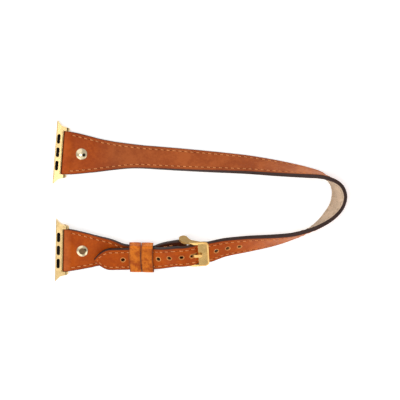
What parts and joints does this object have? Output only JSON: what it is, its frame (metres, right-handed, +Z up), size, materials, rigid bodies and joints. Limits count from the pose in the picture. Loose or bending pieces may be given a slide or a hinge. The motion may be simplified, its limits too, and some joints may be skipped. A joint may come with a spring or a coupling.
{
  "type": "double wrap watch strap",
  "caption": "Long tapering leather strap looped back through a pin buckle and leather keepers, with slide-in lug adapters on both ends.",
  "frame": {"origin": "middle of the bounding box in X and Y, at the level of the table that the strap lies on", "axes": "+X along the strands, from the adapters towards the loop; +Y from the buckle strand towards the other strand; +Z up off the table"},
  "size_m": [0.1532, 0.0836, 0.0157],
  "materials": {
    "strap_leather": "satin leather, slightly pulled up",
    "strap_leather_deep": "satin leather, a deeper tan",
    "keeper_leather": "satin leather",
    "core_leather": "split leather padding",
    "lining_suede": "fine suede",
    "gold_plate": "polished, gold coloured",
    "pale_gold_plate": "polished, pale gold coloured",
    "pad_rubber": "matte",
    "button_plastic": "semi-gloss",
    "spring_steel": "satin"
  },
  "bodies": {
    "straps": {"long_strap_outer": "strap_leather", "long_strap_core": "core_leather", "long_strap_lining": "lining_suede", "short_strap_outer": "strap_leather_deep", "short_strap_core": "core_leather", "short_strap_lining": "lining_suede", "fixed_keeper": "keeper_leather", "spring_bar_tube": "spring_steel", "spring_bar_tips": "spring_steel", "spring_bar_spring": "spring_steel", "upper_rivet_cap": "pale_gold_plate", "upper_rivet_post": "pale_gold_plate", "lower_rivet_cap": "pale_gold_plate", "lower_rivet_post": "pale_gold_plate"},
    "buckle": {"buckle_frame": "gold_plate"},
    "tongue": {"buckle_tongue": "gold_plate"},
    "keeper": {"free_keeper": "keeper_leather"},
    "upper_end": {"upper_adapter": "pale_gold_plate", "upper_pads": "pad_rubber", "upper_latch_spring": "spring_steel", "upper_latch_plate": "pale_gold_plate", "upper_cross_screw": "pale_gold_plate"},
    "upper_latch": {"upper_latch_button": "button_plastic"},
    "lower_end": {"lower_adapter": "pale_gold_plate", "lower_pads": "pad_rubber", "lower_latch_spring": "spring_steel", "lower_latch_plate": "pale_gold_plate", "lower_cross_screw": "pale_gold_plate"},
    "lower_latch": {"lower_latch_button": "button_plastic"}
  },
  "joints": [
    {"name": "upper_end_turn", "type": "hinge", "parent": "straps", "child": "upper_end", "pos_m": [-0.07011, 0.02499, 0.00162], "axis": [0.0767, 0.9971, 0], "range_deg": [-60, 60]},
    {"name": "upper_latch_press", "type": "slide", "parent": "upper_end", "child": "upper_latch", "axis": [0, 0, -1], "range_m": [0, 0.0005], "stiffness_N_per_m": 600, "deforming": ["upper_latch_spring"]},
    {"name": "lower_end_turn", "type": "hinge", "parent": "straps", "child": "lower_end", "pos_m": [-0.06959, -0.02557, 0.0053], "axis": [0.0289, 0.9739, 0.225], "range_deg": [-60, 60]},
    {"name": "lower_latch_press", "type": "slide", "parent": "lower_end", "child": "lower_latch", "axis": [0.0067, 0.2249, -0.9744], "range_m": [0, 0.0005], "stiffness_N_per_m": 600, "deforming": ["lower_latch_spring"]},
    {"name": "buckle_lift", "type": "hinge", "parent": "straps", "child": "buckle", "pos_m": [-0.00804, -0.02551, 0.00673], "axis": [0.05, -0.8176, -0.5736], "range_deg": [0, 2.5]},
    {"name": "tongue_lift", "type": "hinge", "parent": "buckle", "child": "tongue", "pos_m": [-0.00804, -0.02551, 0.00673], "axis": [0.05, -0.8176, -0.5736], "range_deg": [0, 3]},
    {"name": "keeper_slide", "type": "slide", "parent": "straps", "child": "keeper", "axis": [-0.9998, 0.0218, 0], "range_m": [0, 0.0025]}
  ]
}
